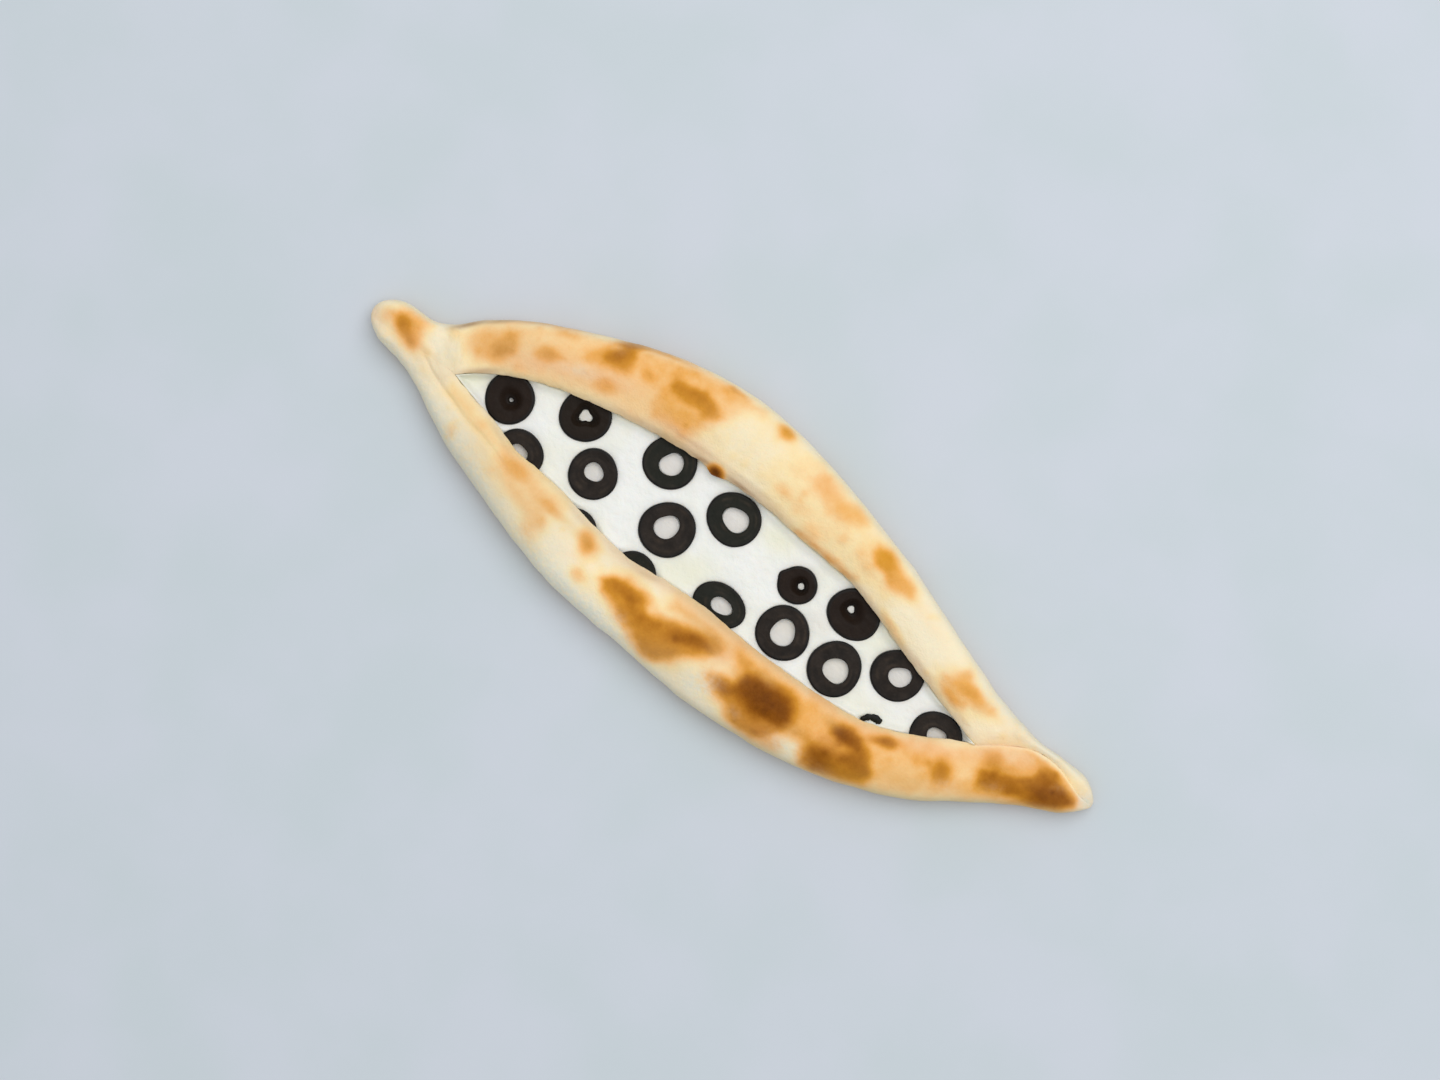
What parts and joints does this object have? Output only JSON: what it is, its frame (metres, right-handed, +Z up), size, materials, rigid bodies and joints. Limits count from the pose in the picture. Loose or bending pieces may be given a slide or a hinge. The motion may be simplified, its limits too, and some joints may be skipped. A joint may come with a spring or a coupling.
{
  "type": "labneh and olive pie",
  "caption": "Boat-shaped baked flatbread pie with its sides folded in and pinched to a tip at each end, open along the middle over labneh and slices of black olive.",
  "frame": {"origin": "centre of the bounding box in plan, at the flat underside that the pie rests on", "axes": "+X runs along the pie towards the tip where one flap lies over the other, +Y across it towards the flap with the lighter bake, +Z up"},
  "size_m": [0.2802, 0.0926, 0.0169],
  "materials": {
    "crust": "baked dough, cream to golden with brown toasted patches, matte",
    "labneh": "smooth soft cheese, off-white, soft sheen",
    "olive": "black olive, glossy skin and satin cut faces"
  },
  "bodies": {
    "root": {"crust": "crust", "labneh": "labneh", "olive_ring_01": "olive", "olive_ring_02": "olive", "olive_ring_03": "olive", "olive_ring_04": "olive", "olive_ring_05": "olive", "olive_ring_06": "olive", "olive_ring_07": "olive", "olive_ring_08": "olive", "olive_ring_09": "olive", "olive_ring_10": "olive", "olive_ring_11": "olive", "olive_ring_12": "olive", "olive_cup_13": "olive", "olive_cup_14": "olive", "olive_cup_15": "olive", "olive_cup_16": "olive", "olive_chip": "olive"}
  },
  "joints": []
}
